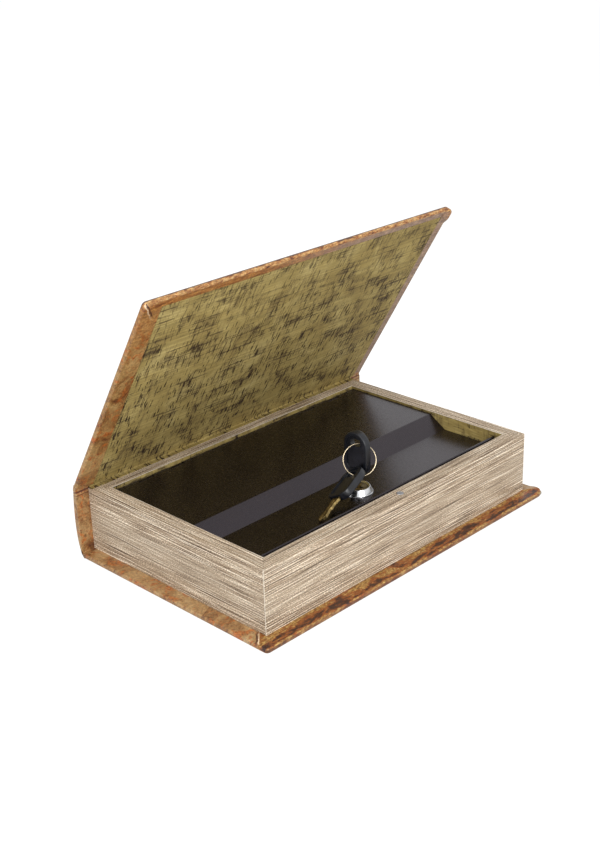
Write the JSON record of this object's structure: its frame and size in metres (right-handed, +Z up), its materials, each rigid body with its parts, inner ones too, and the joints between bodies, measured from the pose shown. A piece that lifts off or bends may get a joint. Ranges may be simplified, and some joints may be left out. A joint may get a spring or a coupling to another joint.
{
  "type": "book diversion safe",
  "caption": "Hollow dummy book with a hinged front cover over a steel cash tray whose stepped lid has a cam lock with a key in it and a spare key on the ring.",
  "frame": {"origin": "middle of the page block's footprint, on the underside of the back cover", "axes": "+X from the spine to the fore-edge, +Y from the tail to the head of the book, +Z up out of the tray"},
  "size_m": [0.1969, 0.3026, 0.2147],
  "materials": {
    "greyboard": "uncoated grey board, hidden in the covers",
    "leatherette": "mottled tan leatherette with a soft gloss",
    "lining": "olive lining paper with short darker flecks",
    "wood": "plain board",
    "pages": "printed with fine page-edge lines",
    "black_steel": "satin black paint, fine orange peel",
    "steel": "bright zinc plate",
    "magnet": "nickel-plated magnet",
    "chrome": "polished chrome plate",
    "brass": "worn brass",
    "wire": "warm nickel-plated wire",
    "bow_plastic": "moulded black plastic"
  },
  "bodies": {
    "case": {"back_board": "greyboard", "back_leatherette": "leatherette", "back_endpaper": "lining", "spine_board": "greyboard", "spine_leatherette": "leatherette", "joint_leatherette": "leatherette", "hinge_endpaper": "lining", "rail_spine": "wood", "rail_fore": "wood", "rail_tail": "wood", "rail_head": "wood", "page_print": "pages", "frame_lining": "lining", "magnet": "magnet", "tray": "black_steel", "strike_channel": "black_steel", "tray_screw_1": "steel", "tray_screw_2": "steel", "tray_screw_3": "steel", "tray_screw_4": "steel", "hinge_pin_tail": "steel", "hinge_pin_head": "steel"},
    "cover": {"front_board": "greyboard", "front_leatherette": "leatherette", "front_endpaper": "lining", "keeper_plate": "steel"},
    "lid": {"lid": "black_steel", "lock_body": "chrome", "lock_nut": "steel"},
    "plug": {"lock_plug": "brass", "lock_cam": "steel", "cam_screw": "steel"},
    "key": {"key_blade": "brass", "key_bow": "bow_plastic"},
    "ring": {"key_ring": "wire"},
    "spare_key": {"spare_key_blade": "brass", "spare_key_bow": "bow_plastic"}
  },
  "joints": [
    {"name": "cover_hinge", "type": "hinge", "parent": "case", "child": "cover", "pos_m": [-0.0908, 0, 0.053], "axis": [0, -1, 0], "range_deg": [-42.5, 121.4], "deforming": ["joint_leatherette"]},
    {"name": "lid_hinge", "type": "hinge", "parent": "case", "child": "lid", "pos_m": [-0.075, 0, 0.04775], "axis": [0, -1, 0], "range_deg": [0, 46]},
    {"name": "lock_turn", "type": "hinge", "parent": "lid", "child": "plug", "pos_m": [0.044, 0, 0.0407], "axis": [0, 0, -1], "range_deg": [0, 90]},
    {"name": "key_slide", "type": "slide", "parent": "plug", "child": "key", "axis": [0, 0, 1], "range_m": [0, 0.012]},
    {"name": "ring_spin", "type": "hinge", "parent": "key", "child": "ring", "pos_m": [0.04965, -0.00387, 0.06868], "axis": [0.6536, -0.5682, 0.5], "continuous": true},
    {"name": "spare_key_swing", "type": "hinge", "parent": "key", "child": "spare_key", "pos_m": [0.05057, -0.01103, 0.05935], "axis": [-0.7528, -0.556, 0.3522], "range_deg": [0, 25.2]}
  ],
  "couplings": [
    {"joint": "spare_key_swing", "follows": "lock_turn", "ratio": 0.28}
  ]
}
